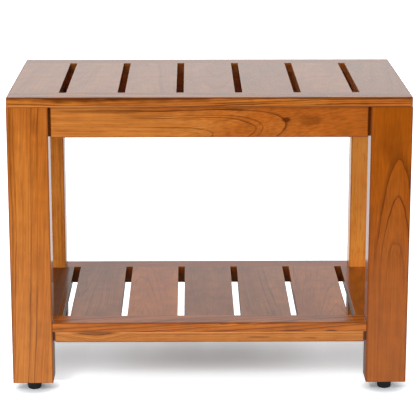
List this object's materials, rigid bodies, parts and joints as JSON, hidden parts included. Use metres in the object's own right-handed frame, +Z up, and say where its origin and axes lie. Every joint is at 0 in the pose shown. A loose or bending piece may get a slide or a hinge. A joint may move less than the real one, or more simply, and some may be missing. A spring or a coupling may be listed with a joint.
{
  "type": "slatted shower bench",
  "caption": "Free-standing bench of varnished teak with a slatted seat, a slatted lower shelf and levelling feet, for a shower or bathroom.",
  "frame": {"origin": "on the floor, under the centre of the seat", "axes": "+X to the right along the seat, +Y to the back, +Z up"},
  "size_m": [0.6, 0.35, 0.457],
  "materials": {
    "teak_seat": "satin varnish",
    "teak_shelf": "satin varnish",
    "teak_leg": "satin varnish",
    "teak_side": "satin varnish",
    "dowel_wood": "bare",
    "fastener_steel": "satin",
    "stud_steel": "satin",
    "brass": "satin",
    "foot_rubber": "matte"
  },
  "bodies": {
    "bench": {"seat_front_rail": "teak_seat", "seat_back_rail": "teak_seat", "seat_slat_1": "teak_seat", "seat_slat_2": "teak_seat", "seat_slat_3": "teak_seat", "seat_slat_4": "teak_seat", "seat_slat_5": "teak_seat", "seat_slat_6": "teak_seat", "seat_slat_7": "teak_seat", "seat_front_apron": "teak_seat", "seat_back_apron": "teak_seat", "shelf_front_rail": "teak_shelf", "shelf_back_rail": "teak_shelf", "shelf_slat_1": "teak_shelf", "shelf_slat_2": "teak_shelf", "shelf_slat_3": "teak_shelf", "shelf_slat_4": "teak_shelf", "shelf_slat_5": "teak_shelf", "shelf_slat_6": "teak_shelf", "shelf_slat_7": "teak_shelf", "shelf_front_cleat": "teak_shelf", "shelf_back_cleat": "teak_shelf", "leg_front_left": "teak_leg", "leg_front_right": "teak_leg", "leg_back_left": "teak_leg", "leg_back_right": "teak_leg", "side_apron_left": "teak_side", "side_apron_right": "teak_side", "side_stretcher_left": "teak_side", "side_stretcher_right": "teak_side", "apron_screws": "fastener_steel", "cleat_screws": "fastener_steel", "seat_bolts": "fastener_steel", "shelf_bolts": "fastener_steel", "bolt_inserts": "brass", "seat_dowels": "dowel_wood", "foot_sleeves": "brass"},
    "foot_front_left": {"foot_pad_front_left": "foot_rubber", "foot_stud_front_left": "stud_steel"},
    "foot_front_right": {"foot_pad_front_right": "foot_rubber", "foot_stud_front_right": "stud_steel"},
    "foot_back_left": {"foot_pad_back_left": "foot_rubber", "foot_stud_back_left": "stud_steel"},
    "foot_back_right": {"foot_pad_back_right": "foot_rubber", "foot_stud_back_right": "stud_steel"}
  },
  "joints": [
    {"name": "foot_front_left_screw", "type": "slide", "parent": "bench", "child": "foot_front_left", "axis": [0, 0, -1], "range_m": [0, 0.008]},
    {"name": "foot_front_right_screw", "type": "slide", "parent": "bench", "child": "foot_front_right", "axis": [0, 0, -1], "range_m": [0, 0.008]},
    {"name": "foot_back_left_screw", "type": "slide", "parent": "bench", "child": "foot_back_left", "axis": [0, 0, -1], "range_m": [0, 0.008]},
    {"name": "foot_back_right_screw", "type": "slide", "parent": "bench", "child": "foot_back_right", "axis": [0, 0, -1], "range_m": [0, 0.008]}
  ]
}
